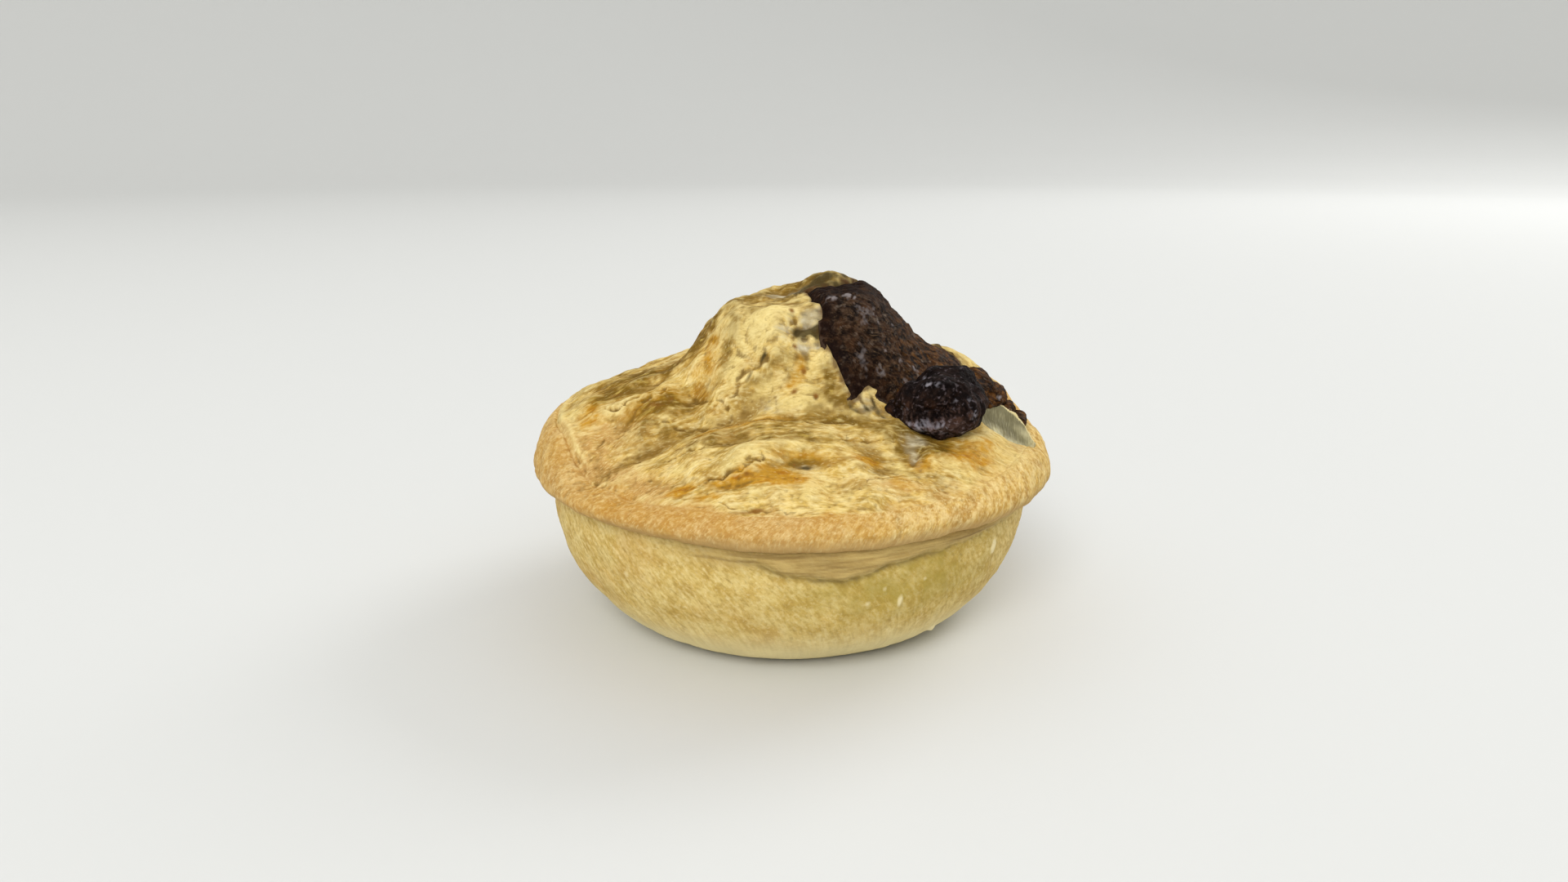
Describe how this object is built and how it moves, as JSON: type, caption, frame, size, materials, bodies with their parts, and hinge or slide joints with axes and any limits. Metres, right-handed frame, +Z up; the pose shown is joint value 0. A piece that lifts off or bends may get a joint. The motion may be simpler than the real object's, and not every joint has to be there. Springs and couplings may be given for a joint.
{
  "type": "party pie",
  "caption": "Small round meat pie with a raised pastry lid that has burst open on one side to show its cooked mince, in a shallow curved pastry case.",
  "frame": {"origin": "centre of the flat bottom", "axes": "+Z up, -Y towards the front, from which the burst is on the right"},
  "size_m": [0.0647, 0.064, 0.0418],
  "materials": {
    "case_pastry": "matt baked shortcrust pastry, pale olive gold with a fine slanting grain",
    "lid_pastry": "matt baked flaky pastry, golden with cream swellings and browned patches",
    "cooked_mince": "dark, slightly moist cooked mince",
    "dark_mince": "drier, darker browned mince"
  },
  "bodies": {
    "root": {"pastry_case": "case_pastry", "pastry_lid": "lid_pastry", "mince_filling": "cooked_mince", "mince_lump": "dark_mince"}
  },
  "joints": []
}
